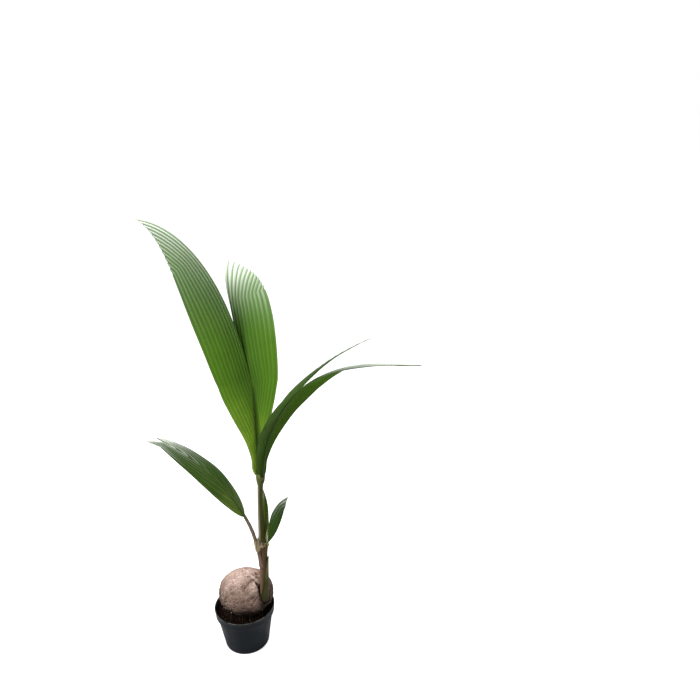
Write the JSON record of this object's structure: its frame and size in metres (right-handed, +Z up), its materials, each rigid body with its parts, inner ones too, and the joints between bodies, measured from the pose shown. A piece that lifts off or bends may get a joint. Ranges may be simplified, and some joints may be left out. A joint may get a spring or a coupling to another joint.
{
  "type": "potted coconut palm",
  "caption": "Young coconut palm growing from its husked nut in a round nursery pot, with a slim leaning stem and broad pleated leaves that fork at their tips.",
  "frame": {"origin": "centre of the flat underside of the pot", "axes": "+Z up; the picture looks along +Y, so the plant's front is towards -Y; +X to the right"},
  "size_m": [0.7974, 0.6132, 1.347],
  "materials": {
    "pot_plastic": "dull black moulded plastic with a slight grey-blue sheen",
    "soil": "moist dark potting compost",
    "husk": "dry wrinkled fibrous husk, pinkish brown, dark at the split",
    "stem": "smooth sheaths, brown at the foot and olive green above",
    "sheath_fibre": "dry torn fibre",
    "leaf_stalk": "satin stalk and midrib, brown to olive",
    "leaf": "glossy pleated green leaf with paler tips"
  },
  "bodies": {
    "root": {"pot": "pot_plastic", "soil": "soil", "coconut_husk": "husk", "stem": "stem", "fibre_collar": "sheath_fibre", "base_scale": "stem", "left_leaf_stalk": "leaf_stalk", "left_leaf_near_half": "leaf", "left_leaf_far_half": "leaf", "small_leaf_stalk": "leaf_stalk", "small_leaf_left_lobe": "leaf", "small_leaf_right_lobe": "leaf", "arching_leaf_stalk": "leaf_stalk", "arching_leaf_lower_lobe": "leaf", "arching_leaf_upper_lobe": "leaf", "tall_leaf_stalk": "leaf_stalk", "tall_leaf_left_lobe": "leaf", "tall_leaf_right_lobe": "leaf"}
  },
  "joints": []
}
